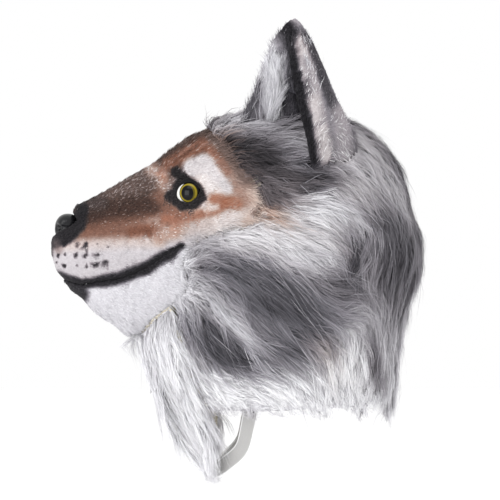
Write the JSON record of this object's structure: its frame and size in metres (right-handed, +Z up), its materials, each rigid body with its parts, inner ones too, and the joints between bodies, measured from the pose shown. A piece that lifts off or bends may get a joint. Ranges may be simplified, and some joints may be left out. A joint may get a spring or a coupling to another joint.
{
  "type": "wolf mask",
  "caption": "Full-head wolf mask: hollow plush muzzle and jaw, long-furred hood open at the neck, upright open ears, resin eyes, glossy nose, hanging throat bib and throat band.",
  "frame": {"origin": "seat on the wearer's crown, on the inside of the hood's top", "axes": "+Z up, nose towards -Y, the wearer's left towards +X"},
  "size_m": [0.2412, 0.3655, 0.4607],
  "materials": {
    "face_plush": "short airbrushed plush",
    "jaw_plush": "short white plush",
    "fur_backing": "knitted backing",
    "head_fur": "long grey, black and white faux fur",
    "bib_fur": "long white faux fur",
    "ear_fur": "short dark faux fur",
    "ear_tuft": "soft lilac-grey faux fur",
    "eye_resin": "clear cast resin over a painted iris",
    "nose_resin": "glossy moulded nose",
    "band_fabric": "flat woven elastic"
  },
  "bodies": {
    "root": {"face": "face_plush", "lower_jaw": "jaw_plush", "hood": "fur_backing", "head_fur": "head_fur", "bib": "fur_backing", "bib_fur": "bib_fur", "ear_left": "ear_fur", "ear_right": "ear_fur", "ear_tuft_left": "ear_tuft", "ear_tuft_right": "ear_tuft", "eye_left": "eye_resin", "eye_right": "eye_resin", "nose": "nose_resin", "throat_band": "band_fabric"}
  },
  "joints": []
}
